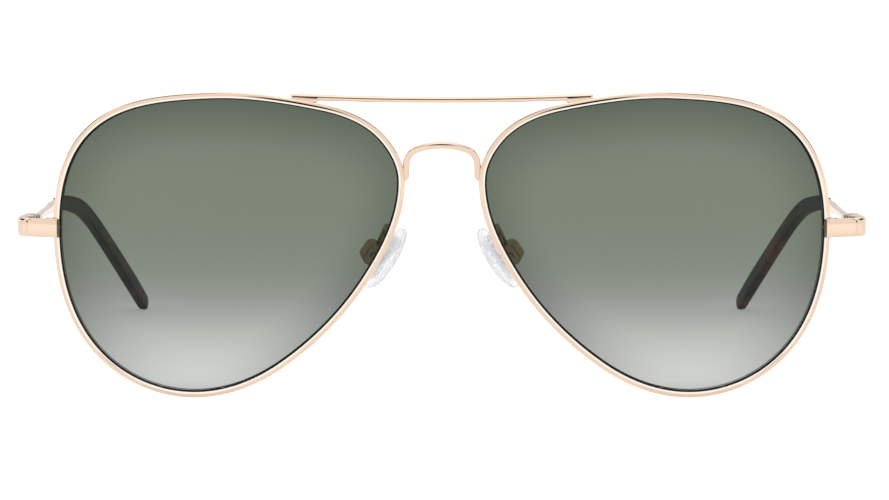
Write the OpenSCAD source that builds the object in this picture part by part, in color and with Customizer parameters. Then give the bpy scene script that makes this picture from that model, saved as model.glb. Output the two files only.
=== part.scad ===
// Aviator sunglasses with a metal front, gradient lenses and folding temples, in millimetres.
// +Z is up and -Y is the front. The glasses stand open on a table, on both rims and both temple tips.
// The origin is on the table, on the line of symmetry, midway between front and back.
// Left and right are the wearer's own: the left side is +X, and the right side is its mirror image.

/* [Lens] */
// Distance from the line of symmetry to each lens centre
eye_x = 36; // [35.8:0.1:36.4]
// Radius of the lens's middle surface
lens_r = 88; // [86:1:90]
// Thickness of the lens
lens_t = 1.6; // [1.4:0.1:1.6]
// Backward lean of the lens's lower edge, in degrees
tilt = 6.5; // [6:0.5:7]
// Backward turn of the lens's outer edge, in degrees
wrap = 5; // [4.5:0.5:5.5]

/* [Front] */
// Width of the rim, seen from the front
rim_w = 1; // [0.9:0.05:1]
// Depth of the rim, from front to back
rim_d = 2; // [1.9:0.1:2.1]
// Height of the brow bar
brow_h = 1; // [0.8:0.1:1.2]
// Depth of the brow bar
brow_d = 1.3; // [1.1:0.1:1.5]
// Half the length of the brow bar
brow_reach = 25.8; // [24:0.2:27]
// Thickness of the bridge wire
bridge_w = 1.15; // [1:0.05:1.2]

/* [Hinge] */
// Distance from the line of symmetry to the outer face of each temple
side_x = 72.5; // [72.2:0.1:73]
// Thickness of the end piece
end_t = 1.5; // [1.4:0.1:1.6]
// Height of the end piece
end_h = 3.2; // [3.1:0.1:3.3]
// Radius of the hinge barrels
barrel_r = 1.2; // [1.1:0.05:1.25]
// Radius of the hinge screw's shank
hinge_screw_r = 0.6; // [0.5:0.05:0.65]

/* [Temple] */
// Height of the slim middle of the arm
arm_h = 1.3; // [1.2:0.1:1.6]
// Thickness of the arm
arm_t = 1.15; // [1:0.05:1.4]
// How far each temple end bows inwards
bow = 8.4; // [7:0.1:9.5]
// Height of the tip at its end
tip_h = 4.2; // [4:0.1:4.3]
// Thickness of the tip, before it widens towards its end
tip_t = 1.9; // [1.7:0.1:2.1]

/* [Nose pad] */
// Length of the pad
pad_l = 12; // [11.6:0.2:12.6]
// Width of the pad
pad_w = 7.2; // [6.8:0.2:7.6]
// Thickness of the pad
pad_t = 2; // [1.8:0.1:2.2]
// Turn of the pad away from the line of sight, in degrees
pad_splay = 17; // [15:1:20]
// Lean of the pad's top towards the nose, in degrees
pad_lean = 34; // [32:1:35]

/* [Hidden] */
$fn = 48;
gold = [0.93, 0.81, 0.68];
lens_green = [0.42, 0.47, 0.42, 0.75];
tortoise = [0.2, 0.13, 0.09];
silicone = [0.92, 0.93, 0.93, 0.6];
dark_steel = [0.35, 0.33, 0.3];

// One eye, seen from the front: [outwards, up, heading] from the lens centre.
// It starts at the outer side and runs over the top.
EYE_SHAPE = [
    [29.8, 1.8, 91],     // outermost point, where the rim is split
    [24.9, 17.6, 131],   // upper outer corner
    [3.2, 24.9, 177],    // top
    [-15.8, 22.8, 193],  // where the brow falls away
    [-25.9, 17.2, 231],  // upper nose corner
    [-28.8, 10.1, 270],  // innermost point
    [-22.7, -6.2, 303],  // start of the long lower slope
    [-8.4, -21, 324],    // end of the long lower slope
    [7.9, -26.7, 361],   // lowest point
    [23.3, -19.8, 408],  // lower outer corner
    [29.8, 1.8, 451],    // back at the start
];
EYE_STEPS = 8;           // stations along each stretch of the outline

// Heights in this section are measured from the lens centres, and depths from the lens's middle surface.
end_z = 2.35;            // middle of the end piece
rim_gap = 0.2;           // split in the rim, closed by the rim screw
fit_gap = 0.03;          // space left between soldered pieces
end_bend_r = 2.6;        // bend of the end piece, along its middle
end_y = 13.6;            // back of the end piece, and the hinge line
barrel_gap = 0.04;       // play between neighbouring barrels
running_gap = 0.04;      // play between the hinge screw and the temple's barrel
held_gap = 0.01;         // play between a screw and the pieces that it holds
side_step = 1;           // how far the slim arm sits inside its front block
side_in = 0.013;         // how much an arm leans inwards for each millimetre of its length
bow_start = 75;          // depth at which the arm starts to bow inwards
bow_length = 67;         // depth over which it bows
tip_start = 54.5;        // front end of the tip sleeve
tip_end = 142;           // back end of the tip sleeve
core_end = 136;          // back end of the metal core inside the sleeve
core_h = 1.3;
core_t = 0.8;
core_gap = 0.05;         // space between the core and the sleeve
end_round = 1.4;         // length of the rounding at the end of the tip

// Side view of the temple: [back, up, heading].
TEMPLE_SHAPE = [
    [end_y + 0.05, end_z, 0.5],
    [60, 1.85, -2.5],
    [87.6, -0.9, -7.9],  // start of the ear bend
    [110.9, -8.1, -24.4],
    [tip_end, -25.6, -33.1],
];
TEMPLE_STEPS = 9;        // stations along each stretch

// Bridge, seen from the front: [outwards, up, heading], from the middle to the end of one leg.
leg_x = eye_x - 30.05;
BRIDGE_SHAPE = [
    [0, 16.85, 0],
    [leg_x - 1.7, 16.1, -22],
    [leg_x, 14, -80],
    [leg_x + 0.02, 10.6, -91],
];

/* Curves */

// A unit step in the direction of an angle.
function heading(angle) = [cos(angle), sin(angle)];

// Point at t on the smooth curve between two nodes [x, y, heading].
function curve_point(a, b, t) =
    let (
        start = [a.x, a.y],
        finish = [b.x, b.y],
        reach = 2 * norm(finish - start) / (3 * (1 + cos((b.z - a.z) / 2))),
        leave = start + reach * heading(a.z),
        arrive = finish - reach * heading(b.z)
    )
    pow(1 - t, 3) * start + 3 * pow(1 - t, 2) * t * leave
        + 3 * (1 - t) * t * t * arrive + pow(t, 3) * finish;

// Stations [x, y, heading] along a list of nodes, without the last node.
function stations(nodes, steps) = [
    for (i = [0 : len(nodes) - 2], k = [0 : steps - 1])
        let (
            t = k / steps,
            here = curve_point(nodes[i], nodes[i + 1], t),
            ahead = curve_point(nodes[i], nodes[i + 1], t + 0.01),
            behind = curve_point(nodes[i], nodes[i + 1], t - 0.01),
            along = ahead - behind
        )
        [here.x, here.y, atan2(along.y, along.x)]
];

// Rounded rectangle of width w and height h, as a ring of points.
function rounded(w, h, n = 12, squareness = 0.55) = [
    for (k = [0 : n - 1])
        let (angle = 360 * (k + 0.5) / n, c = cos(angle), s = sin(angle))
        [sign(c) * w / 2 * pow(abs(c), squareness), sign(s) * h / 2 * pow(abs(s), squareness)]
];

function total(values) = values * [for (v = values) 1];
function mean(points) = [for (i = [0 : 2]) total([for (p = points) p[i]]) / len(points)];
function reversed(list) = [for (i = [len(list) - 1 : -1 : 0]) list[i]];

// Closed solid through a list of rings with equal numbers of points, with a fan over each end.
module skin(rings) {
    n = len(rings[0]);
    m = len(rings);
    points = concat([for (ring = rings) each ring], [mean(rings[0]), mean(rings[m - 1])]);
    sides = [
        for (i = [0 : m - 2], j = [0 : n - 1])
            let (a = i * n + j, b = i * n + (j + 1) % n, c = b + n, d = a + n)
            each [[a, b, c], [a, c, d]]
    ];
    ends = [
        for (j = [0 : n - 1])
            let (k = (j + 1) % n)
            each [[k, j, m * n], [(m - 1) * n + j, (m - 1) * n + k, m * n + 1]]
    ];
    polyhedron(points = points, faces = concat(sides, ends), convexity = 10);
}

/* The eye's curved surface */

// Point of the left eye: a is measured outwards from the outline, b forwards from the lens's middle surface.
function eye_point(station, a, b, scale = 1) =
    let (
        u = scale * (station.x + a * sin(station.z)),
        v = scale * (station.y - a * cos(station.z)),
        stretch = (lens_r + b) / lens_r,
        y = lens_r - stretch * sqrt(lens_r * lens_r - u * u - v * v)
    )
    leaned([stretch * u, y, stretch * v]);

// A point of the eye's own frame, leaned, turned and moved to its place on the left side.
function leaned(p) =
    let (
        y = p.y * cos(tilt) - p.z * sin(tilt),
        z = p.y * sin(tilt) + p.z * cos(tilt)
    )
    [eye_x + p.x * cos(wrap) - y * sin(wrap), p.x * sin(wrap) + y * cos(wrap), z];

EYE = stations(EYE_SHAPE, EYE_STEPS);

// Rim section: [outwards, forwards], with a V groove on the inner side.
half_w = rim_w / 2;
half_d = rim_d / 2;
RIM_SECTION = [
    [-half_w, half_d - 0.25], [-half_w, 0.45], [0.38 - half_w, 0], [-half_w, -0.45],
    [-half_w, 0.2 - half_d], [0.2 - half_w, -half_d], [half_w - 0.2, -half_d], [half_w, 0.2 - half_d],
    [half_w, half_d - 0.25], [0.6 * half_w, half_d - 0.06], [0, half_d], [-0.6 * half_w, half_d - 0.06],
];

function rim_ring(station, grow = 0) = [
    for (q = RIM_SECTION) eye_point(station, q.x + grow * sign(q.x), q.y + grow * sign(q.y))
];

RIM_RINGS =
    let (first = EYE[0], half = rim_gap / 2)
    concat(
        [rim_ring([first.x, first.y + half, first.z])],
        [for (i = [1 : len(EYE) - 1]) rim_ring(EYE[i])],
        [rim_ring([first.x, first.y - half, first.z])]
    );

// A stretch of the rim made slightly bigger, to shape pieces that sit against it.
module rim_stretch(first, last) {
    skin([for (i = [first : last]) rim_ring(EYE[i], fit_gap)]);
}

lens_in = half_w + 0.06; // how far the lens's faces end inside the outline
bevel_in = lens_in - 0.38;
half_t = lens_t / 2;
function lens_ring(a, b, scale = 1) = [for (s = EYE) eye_point(s, a, b, scale)];
LENS_SCALES = [0.05, 0.25, 0.45, 0.65, 0.83];
LENS_RINGS = concat(
    [for (s = LENS_SCALES) lens_ring(-lens_in, half_t, s)],
    [lens_ring(-lens_in, half_t), lens_ring(-lens_in, 0.5)],
    [lens_ring(-bevel_in, 0)],
    [lens_ring(-lens_in, -0.5), lens_ring(-lens_in, -half_t)],
    [for (s = reversed(LENS_SCALES)) lens_ring(-lens_in, -half_t, s)]
);

/* Temple */

TEMPLE = concat(stations(TEMPLE_SHAPE, TEMPLE_STEPS), [TEMPLE_SHAPE[len(TEMPLE_SHAPE) - 1]]);

// Middle of the arm, seen from above, at depth y.
function temple_x(y) =
    side_x - end_t / 2 - side_step * lookup(y, [[19, 0], [22, 0.3], [27, 0.8], [31, 1]])
        - side_in * (y - end_y) - bow * pow(max(0, y - bow_start) / bow_length, 2);

// Ring of thickness w and height h around the temple's line, at a station of its side view.
function temple_ring(station, w, h, n = 12) =
    let (
        inward = temple_x(station.x + 0.5) - temple_x(station.x - 0.5),
        thick = [1, -inward, 0] / norm([1, inward]),
        tall = [0, -sin(station.z), cos(station.z)],
        middle = [temple_x(station.x), station.x, station.y]
    )
    [for (q = rounded(w, h, n)) middle + q.x * thick + q.y * tall];

// Station of the side view at depth y, worked out between its neighbours.
function temple_at(y) = [
    y,
    lookup(y, [for (s = TEMPLE) [s.x, s.y]]),
    lookup(y, [for (s = TEMPLE) [s.x, s.z]]),
];

function arm_height(y) =
    lookup(y, [[end_y, 2.7], [19, 2.7], [28, arm_h], [40, arm_h], [49, 2], [tip_start, 2.2]]);
function arm_thickness(y) = lookup(y, [[end_y, end_t], [19, end_t], [28, arm_t], [tip_start, arm_t + 0.2]]);
function tip_height(y) = lookup(y, [[tip_start, 2.45], [88, 3.05], [tip_end, tip_h]]);
function tip_thickness(y) = lookup(y, [[tip_start, arm_t + 0.45], [76, tip_t], [tip_end, tip_t + 0.2]]);

// How much of its full size the tip has at a distance from its end, where it keeps the share given.
function end_scale(distance, keep) =
    distance >= end_round ? 1 : keep + (1 - keep) * sqrt(1 - pow(1 - distance / end_round, 2));

ARM_DEPTHS = concat(
    [end_y + 0.05, 16, 19, 22, 25, 28, 32, 36, 40, 43, 46, 49, 52],
    [tip_start]
);
TIP_DEPTHS = concat(
    [for (y = [tip_start + core_gap : 4.5 : 88]) y],
    [for (s = TEMPLE) if (s.x > 89 && s.x < tip_end - 2) s.x],
    [for (k = [5 : -1 : 0]) tip_end - end_round * k / 5]
);
CORE_DEPTHS = concat([for (y = [tip_start : 6 : 82]) y], [for (y = [88 : 3 : 112]) y], [120, 128, core_end]);

ARM_RINGS = concat(
    [for (y = ARM_DEPTHS) temple_ring(temple_at(y), arm_thickness(y), arm_height(y))],
    [for (y = CORE_DEPTHS) temple_ring(temple_at(y), core_t, core_h)]
);
TIP_RINGS = concat(
    [
        for (y = reversed(CORE_DEPTHS))
            temple_ring(
                temple_at(y + core_gap * (y == tip_start ? 1 : 2)),
                core_t + 2 * core_gap, core_h + 2 * core_gap
            )
    ],
    [
        for (y = TIP_DEPTHS)
            let (left = tip_end - y)
            temple_ring(
                temple_at(y),
                end_scale(left, 0.7) * tip_thickness(y), end_scale(left, 0.5) * tip_height(y)
            )
    ]
);

/* Place of the whole model */

rest_z = min([for (ring = RIM_RINGS, p = ring) p.z]);
front_y = min([for (ring = concat(LENS_RINGS, RIM_RINGS), p = ring) p.y]);
back_y = max([for (ring = TIP_RINGS, p = ring) p.y]);
ORIGIN = [0, (front_y + back_y) / 2, rest_z];

module placed(side = 1) {
    mirror([side < 0 ? 1 : 0, 0, 0]) translate(-ORIGIN) children();
}

module both_sides() {
    children();
    mirror([1, 0, 0]) children();
}

/* Front */

module rim() {
    color(gold) skin(RIM_RINGS);
}

module lens() {
    color(lens_green) skin(LENS_RINGS);
}

// Nearly straight bar on top of both rims. A foot under each end is shaped to the rim.
brow_end_z = 25.1;
brow_mid_z = 24.55;
foot_in = 21.3;
function foot_drop(x) = 0.35 + 0.075 * (brow_reach - abs(x));
function brow_y(x) = 0.1 + 0.4 * pow(x / brow_reach, 2);
function brow_z(x) = brow_mid_z + (brow_end_z - brow_mid_z) * pow(x / brow_reach, 2);
function brow_ring(x, drop) = [
    for (q = rounded(brow_d, brow_h, 12, 0.6)) [x, brow_y(x) - q.x, brow_z(x) + q.y - (q.y < 0 ? drop : 0)]
];

module brow_bar() {
    bar = [for (k = [-7 : 7]) brow_ring(foot_in * k / 7, 0)];
    foot_at = [for (k = [0 : 4]) foot_in + 0.1 + (brow_reach - foot_in - 0.1) * k / 4];
    foot = [for (x = foot_at) brow_ring(x, foot_drop(x))];
    other_foot = [for (x = reversed(foot_at)) brow_ring(-x, foot_drop(x))];
    color(gold) difference() {
        skin(concat(other_foot, bar, foot));
        both_sides() rim_stretch(18, 27);
    }
}

// Arched wire with a leg soldered to the side of each rim.
bridge_d = 1.4;
bridge_mid_y = 0.7;
bridge_leg_y = 1.95;
function bridge_y(z) = bridge_leg_y + (bridge_mid_y - bridge_leg_y) * pow(max(0, z - 11) / 5.85, 2);
function bridge_ring(station) = [
    for (q = rounded(bridge_w, bridge_d, 12, 0.75))
        let (across = [-sin(station.z), cos(station.z)])
        [station.x + q.x * across.x, bridge_y(station.y) - q.y, station.y + q.x * across.y]
];

module bridge() {
    half = concat(stations(BRIDGE_SHAPE, 8), [BRIDGE_SHAPE[len(BRIDGE_SHAPE) - 1]]);
    other = [for (s = reversed(half)) [-s.x, s.y, -s.z]];
    line = concat([for (i = [0 : len(other) - 2]) other[i]], half);
    color(gold) difference() {
        skin([for (s = reversed(line)) bridge_ring(s)]);
        both_sides() rim_stretch(30, 44);
    }
}

/* End piece and rim lock */

SPLIT = [EYE_SHAPE[0].x, EYE_SHAPE[0].y, EYE_SHAPE[0].z];
split_middle = eye_point(SPLIT, 0, 0);
split_front = eye_point(SPLIT, 0, half_d);
split_forward = (split_front - split_middle) / half_d;
face_angle = atan2(split_forward.y, split_forward.x) + 90; // slope of the rim's face, seen from above
solder_gap = 0.16;

// Seen from above: along the rim's face, round the bend, then straight back to the hinge.
end_start = split_front + (end_t / 2 + solder_gap) * split_forward - 0.9 * [cos(face_angle), sin(face_angle), 0];
end_line_x = side_x - end_t / 2;
bend_start_x = end_line_x - end_bend_r * (1 - sin(face_angle));
bend_start_y = end_start.y + (bend_start_x - end_start.x) * tan(face_angle);
bend_centre = [end_line_x - end_bend_r, bend_start_y + end_bend_r * cos(face_angle)];
END_LINE = concat(
    [for (k = [0 : 4])
        [
            end_start.x + (bend_start_x - end_start.x) * k / 5,
            end_start.y + (bend_start_y - end_start.y) * k / 5,
            face_angle
        ]
    ],
    [for (k = [0 : 8])
        let (angle = face_angle + (90 - face_angle) * k / 8)
        [bend_centre.x + end_bend_r * sin(angle), bend_centre.y - end_bend_r * cos(angle), angle]
    ],
    [[end_line_x, end_y, 90]]
);

module end_piece() {
    color(gold) skin([
        for (s = END_LINE)
            let (t = lookup(s.z, [[face_angle, 1.1], [face_angle + 12, end_t]]))
            [for (q = rounded(t, end_h, 16, 0.4))
                let (out = q.x + (t - end_t) / 2)
                [s.x + out * sin(s.z), s.y - out * cos(s.z), end_z + q.y]]
    ]);
}

// Frame of the rim lock: behind the end piece, on the outer side of the rim's split.
block_w = 1.9;
block_d = 1.7;
block_h = 1.45;
rim_screw_r = 0.45;
rim_head_r = 0.7;
rim_head_h = 0.5;

module at_lock() {
    translate([split_middle.x, split_middle.y, split_middle.z]) rotate([0, 0, face_angle])
        translate([half_w + block_w / 2 + 0.12, 0, 0]) children();
}

module closing_block(up) {
    color(gold) at_lock() difference() {
        translate([-block_w / 2, -block_d / 2, up ? rim_gap / 2 : -rim_gap / 2 - block_h])
            cube([block_w, block_d, block_h]);
        translate([0, 0, -3]) cylinder(r = rim_screw_r + held_gap, h = 6);
        translate([0, 0, rim_gap / 2 + block_h - rim_head_h])
            cylinder(r = rim_head_r + held_gap, h = 1);
    }
}

// Slotted screw that points down, with the top of its head at the origin.
module slotted_screw(shank_r, head_r, head_h, total) {
    difference() {
        union() {
            translate([0, 0, -head_h]) cylinder(r = head_r, h = head_h);
            translate([0, 0, -total]) cylinder(r = shank_r, h = total - head_h + 0.01);
        }
        translate([-head_r - 0.1, -0.1, -0.22]) cube([2 * head_r + 0.2, 0.2, 0.5]);
    }
}

module rim_screw() {
    color(dark_steel) at_lock() translate([0, 0, rim_gap / 2 + block_h + held_gap])
        slotted_screw(rim_screw_r, rim_head_r, rim_head_h, rim_gap + 2 * block_h);
}

/* Hinge */

hinge_x = side_x - end_t - barrel_r - 0.05;
barrel_h = (end_h - 2 * barrel_gap) / 3;
leaf_in = 0.2;           // inner face of each leaf, measured outwards from the hinge line
leaf_back = 1.3;         // distance from the hinge line to the full-height part of a leaf
hinge_head_r = 0.85;
hinge_head_h = 0.45;

module at_hinge() {
    translate([hinge_x, end_y, end_z]) children();
}

// Barrel of the hinge with the tab that joins it to its leaf; back is 1 for the temple and -1 for the front.
module barrel(z, back) {
    translate([0, 0, z - barrel_h / 2]) {
        cylinder(r = barrel_r, h = barrel_h);
        translate([leaf_in, back > 0 ? 0 : -leaf_back - 0.1, 0])
            cube([barrel_r - leaf_in, leaf_back + 0.1, barrel_h]);
    }
}

module front_hinge() {
    step = barrel_h + barrel_gap;
    color(gold) at_hinge() difference() {
        union() {
            for (k = [-1, 1]) barrel(k * step, -1);
            translate([leaf_in, -2.8, -end_h / 2]) cube([barrel_r - leaf_in, 2.8 - leaf_back, end_h]);
        }
        translate([0, 0, -3]) cylinder(r = hinge_screw_r + held_gap, h = 6);
        translate([0, 0, end_h / 2 - hinge_head_h]) cylinder(r = hinge_head_r + held_gap, h = 1);
    }
}

module temple_hinge() {
    leaf_h = 2.2;
    color(gold) at_hinge() difference() {
        union() {
            barrel(0, 1);
            translate([leaf_in, leaf_back, -leaf_h / 2]) cube([barrel_r - leaf_in, 4.2, leaf_h]);
        }
        translate([0, 0, -3]) cylinder(r = hinge_screw_r + running_gap, h = 6);
    }
}

module hinge_screw() {
    color(dark_steel) at_hinge() translate([0, 0, end_h / 2 + held_gap])
        slotted_screw(hinge_screw_r, hinge_head_r, hinge_head_h, end_h);
}

/* Nose pad */

// The pad's own frame has its origin on the pad screw: -X faces the nose, Y is across and Z is along the pad.
pad_place = [eye_x - 23.95, 10.3, -2.1];
pad_pitch = 8;           // lean of the pad's top towards the front
pad_middle = [-2.9, 0, 0.3];
box_w = 2.9;             // across, along the screw
box_l = 3.9;
box_back = 1.45;         // depth behind the screw
box_front = 0.95;        // depth in front of the screw
box_wall = 0.5;
lug_w = box_w - 2 * box_wall - 0.1;
lug_r = 0.9;             // rounded end of the insert's lug
pad_screw_r = 0.4;
pad_head_r = 0.6;
insert_t = 0.5;

module at_pad() {
    translate(pad_place) rotate([pad_pitch, 0, 0]) rotate([0, -pad_lean, 0])
        rotate([0, 0, -pad_splay]) children();
}

// Cup with rounded back corners that holds the pad's lug between two walls.
module pad_box() {
    color(gold) at_pad() difference() {
        rotate([90, 0, 0]) translate([0, 0, -box_w / 2]) linear_extrude(box_w) union() {
            translate([-box_front, -box_l / 2]) square([box_front, box_l]);
            translate([0, -box_l / 2 + box_back]) square([box_back, box_l - 2 * box_back]);
            for (k = [-1, 1]) translate([0, k * (box_l / 2 - box_back)]) circle(r = box_back);
        }
        translate([-2, box_wall - box_w / 2, -box_l / 2 + box_wall])
            cube([2 + lug_r + 0.05, box_w - 2 * box_wall, box_l - 2 * box_wall]);
        rotate([90, 0, 0]) translate([0, 0, -3]) cylinder(r = pad_screw_r + held_gap, h = 6);
    }
}

module pad_screw() {
    color(dark_steel) at_pad() rotate([90, 0, 0]) translate([0, 0, box_w / 2 + 0.4])
        slotted_screw(pad_screw_r, pad_head_r, 0.38, box_w + 0.4);
}

// Shapes of the insert: a plate inside the pad and a round-ended lug with the screw hole.
module insert_shape(grow) {
    translate(pad_middle) rotate([90, 0, 90]) translate([0, 0, -insert_t / 2 - grow])
        linear_extrude(insert_t + 2 * grow) union() {
            square([3.6 + 2 * grow, 5], center = true);
            for (k = [-1, 1]) translate([0, 2.5 * k]) circle(r = 1.8 + grow);
        }
    translate([pad_middle.x, -lug_w / 2 - grow, -lug_r - grow])
        cube([-pad_middle.x, lug_w + 2 * grow, 2 * (lug_r + grow)]);
}

module pad_insert() {
    color(gold) at_pad() difference() {
        union() {
            insert_shape(0);
            rotate([90, 0, 0]) translate([0, 0, -lug_w / 2]) cylinder(r = lug_r, h = lug_w);
        }
        rotate([90, 0, 0]) translate([0, 0, -3]) cylinder(r = pad_screw_r + running_gap, h = 6);
    }
}

// Soft oval pad, narrower at the top, with a crowned face.
PAD_LEVELS = [-1, -0.97, -0.88, -0.7, -0.45, -0.15, 0.15, 0.45, 0.7, 0.88, 0.97, 1];
function pad_ring(level) =
    let (
        full = sqrt(max(0.02, 1 - level * level)),
        w = pad_w * full * (1 - 0.12 * level),
        t = pad_t * sqrt(full)
    )
    [for (q = rounded(w, t, 16, 0.8))
        pad_middle + [-q.y * (q.y > 0 ? 1.1 : 0.9) - 0.25 * (full - 1), q.x, level * pad_l / 2]];

module nose_pad() {
    color(silicone) at_pad() difference() {
        skin([for (level = reversed(PAD_LEVELS)) pad_ring(level)]);
        insert_shape(0.03);
    }
}

// Bent wire from the back of the rim up and over to the back of the pad box.
arm_wire_r = 0.5;
function pad_point(p) =
    let (
        a = [p.x * cos(pad_splay) + p.y * sin(pad_splay), p.y * cos(pad_splay) - p.x * sin(pad_splay), p.z],
        b = [a.x * cos(pad_lean) - a.z * sin(pad_lean), a.y, a.x * sin(pad_lean) + a.z * cos(pad_lean)]
    )
    pad_place + [b.x, b.y * cos(pad_pitch) - b.z * sin(pad_pitch), b.y * sin(pad_pitch) + b.z * cos(pad_pitch)];

function bezier(p, t) =
    pow(1 - t, 3) * p[0] + 3 * pow(1 - t, 2) * t * p[1] + 3 * (1 - t) * t * t * p[2] + pow(t, 3) * p[3];

module wire(points, r, n = 10) {
    last = len(points) - 1;
    skin([
        for (i = [0 : last])
            let (
                along = points[min(i + 1, last)] - points[max(i - 1, 0)],
                side = cross(along, [0.1, 0.2, 1]),
                u = side / norm(side),
                v = cross(u, along) / norm(along)
            )
            [for (k = [0 : n - 1]) points[i] + r * cos(360 * k / n) * u + r * sin(360 * k / n) * v]
    ]);
}

module pad_arm() {
    root = [eye_x - 26.75, 2.95, 1.5];
    root_up = root + [-0.6, 3.2, 1.8];
    into_box = pad_point([-0.1, 0, box_l / 2 + fit_gap]);
    box_up = pad_point([-0.1, 0, box_l / 2 + 3.3]);
    color(gold) wire([for (k = [0 : 14]) bezier([root, root_up, box_up, into_box], k / 14)], arm_wire_r);
}

/* Temple */

module temple() {
    color(gold) skin(ARM_RINGS);
}

module temple_tip() {
    color(tortoise) skin(TIP_RINGS);
}

placed() rim();  // rim_left
placed(-1) rim();  // rim_right
placed() lens();  // lens_left
placed(-1) lens();  // lens_right
placed() brow_bar();
placed() bridge();
placed() end_piece();  // end_piece_left
placed(-1) end_piece();  // end_piece_right
placed() closing_block(true);  // upper_closing_block_left
placed(-1) closing_block(true);  // upper_closing_block_right
placed() closing_block(false);  // lower_closing_block_left
placed(-1) closing_block(false);  // lower_closing_block_right
placed() rim_screw();  // rim_screw_left
placed(-1) rim_screw();  // rim_screw_right
placed() front_hinge();  // front_hinge_left
placed(-1) front_hinge();  // front_hinge_right
placed() temple_hinge();  // temple_hinge_left
placed(-1) temple_hinge();  // temple_hinge_right
placed() hinge_screw();  // hinge_screw_left
placed(-1) hinge_screw();  // hinge_screw_right
placed() pad_arm();  // pad_arm_left
placed(-1) pad_arm();  // pad_arm_right
placed() pad_box();  // pad_box_left
placed(-1) pad_box();  // pad_box_right
placed() pad_screw();  // pad_screw_left
placed(-1) pad_screw();  // pad_screw_right
placed() pad_insert();  // pad_insert_left
placed(-1) pad_insert();  // pad_insert_right
placed() nose_pad();  // nose_pad_left
placed(-1) nose_pad();  // nose_pad_right
placed() temple();  // temple_left
placed(-1) temple();  // temple_right
placed() temple_tip();  // temple_tip_left
placed(-1) temple_tip();  // temple_tip_right
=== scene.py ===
"""Looks of the aviator sunglasses: a smooth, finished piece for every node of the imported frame.

The left pieces are built, and the right ones are their mirror images. Shapes are in millimetres, in the
front's own coordinates: the lens centres have y = 0 and z = 0. new_object() moves them to the frame.
"""

import math

import bmesh
import bpy
import numpy as np
from mathutils import Matrix, Vector


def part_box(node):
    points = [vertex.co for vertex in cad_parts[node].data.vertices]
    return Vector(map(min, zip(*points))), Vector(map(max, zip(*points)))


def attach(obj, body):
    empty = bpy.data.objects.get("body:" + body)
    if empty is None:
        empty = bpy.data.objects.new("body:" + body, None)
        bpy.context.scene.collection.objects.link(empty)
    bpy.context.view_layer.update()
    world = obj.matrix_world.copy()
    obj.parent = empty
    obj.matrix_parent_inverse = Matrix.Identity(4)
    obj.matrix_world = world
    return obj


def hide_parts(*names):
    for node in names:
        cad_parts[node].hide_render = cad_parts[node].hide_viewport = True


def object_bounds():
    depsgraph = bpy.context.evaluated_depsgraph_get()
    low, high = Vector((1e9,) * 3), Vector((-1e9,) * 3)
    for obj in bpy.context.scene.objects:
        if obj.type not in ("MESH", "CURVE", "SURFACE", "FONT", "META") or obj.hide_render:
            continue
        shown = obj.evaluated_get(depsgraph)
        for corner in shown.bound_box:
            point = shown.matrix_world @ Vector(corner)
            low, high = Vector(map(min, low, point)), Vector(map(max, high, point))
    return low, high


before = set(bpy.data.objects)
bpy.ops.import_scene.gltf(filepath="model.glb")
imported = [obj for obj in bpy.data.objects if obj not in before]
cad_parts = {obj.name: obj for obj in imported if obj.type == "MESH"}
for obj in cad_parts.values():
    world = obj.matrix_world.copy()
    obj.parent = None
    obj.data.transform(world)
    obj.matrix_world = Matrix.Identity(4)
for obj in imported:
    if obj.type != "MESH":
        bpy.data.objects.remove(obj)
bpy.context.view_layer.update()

# Sizes in millimetres, the same as in the CAD source except for TIP_START and BROW_REACH.
EYE_X = 36
LENS_R, LENS_T = 88, 1.6
TILT, WRAP = math.radians(6.5), math.radians(5)
RIM_W, RIM_D, RIM_GAP = 1, 2, 0.2
HELD_GAP, RUNNING_GAP = 0.01, 0.04
SIDE_X, END_T, END_H, END_Y, END_Z = 72.5, 1.5, 3.2, 13.6, 2.35
END_BEND_R = 2.6
BARREL_R, BARREL_GAP = 1.2, 0.04
LEAF_IN, LEAF_BACK = 0.2, 1.3
HINGE_SCREW_R, HINGE_HEAD_R, HINGE_HEAD_H = 0.6, 0.85, 0.45
RIM_SCREW_R, RIM_HEAD_R, RIM_HEAD_H = 0.45, 0.7, 0.5
PAD_SCREW_R, PAD_HEAD_R, PAD_HEAD_H = 0.4, 0.6, 0.38
BLOCK_W, BLOCK_D, BLOCK_H = 1.9, 1.7, 1.45
HINGE_X = SIDE_X - END_T - BARREL_R - 0.05
BARREL_H = (END_H - 2 * BARREL_GAP) / 3
ARM_H, ARM_T = 1.3, 1.15
TIP_H, TIP_T = 4.2, 1.9
TIP_START, TIP_END = 56.5, 142
SIDE_IN, BOW, BOW_START, BOW_LENGTH = 0.013, 8.4, 75, 67
BROW_REACH, BROW_H, BROW_D = 25.4, 1, 1.3
BRIDGE_W, BRIDGE_D = 1.15, 1.4
PAD_L, PAD_W, PAD_T = 12, 7.2, 2
PAD_PITCH, PAD_LEAN, PAD_SPLAY = math.radians(8), math.radians(34), math.radians(17)
BOX_W, BOX_L, BOX_BACK, BOX_FRONT, BOX_WALL = 2.9, 3.9, 1.45, 0.95, 0.5
PAD_PLACE = Vector((EYE_X - 23.95, 10.3, -2.1))
PAD_MIDDLE = Vector((-2.9, 0, 0.3))

THROUGH = 3  # half the length of a bore cut right through a small part
ROUND_STEPS = 48  # sides of a turned part
HINGE_PLACE = Matrix.Translation((HINGE_X, END_Y, END_Z))

# The frame's origin in the front's own coordinates: the hinge screw's axis and top are known in both.
screw_low, screw_high = (np.array(corner) * 1000 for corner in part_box("hinge_screw_left"))
screw_y, screw_top = (screw_low[1] + screw_high[1]) / 2, END_Z + END_H / 2 + HELD_GAP
ORIGIN = np.array([0, END_Y - screw_y, screw_top - screw_high[2]])

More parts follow.
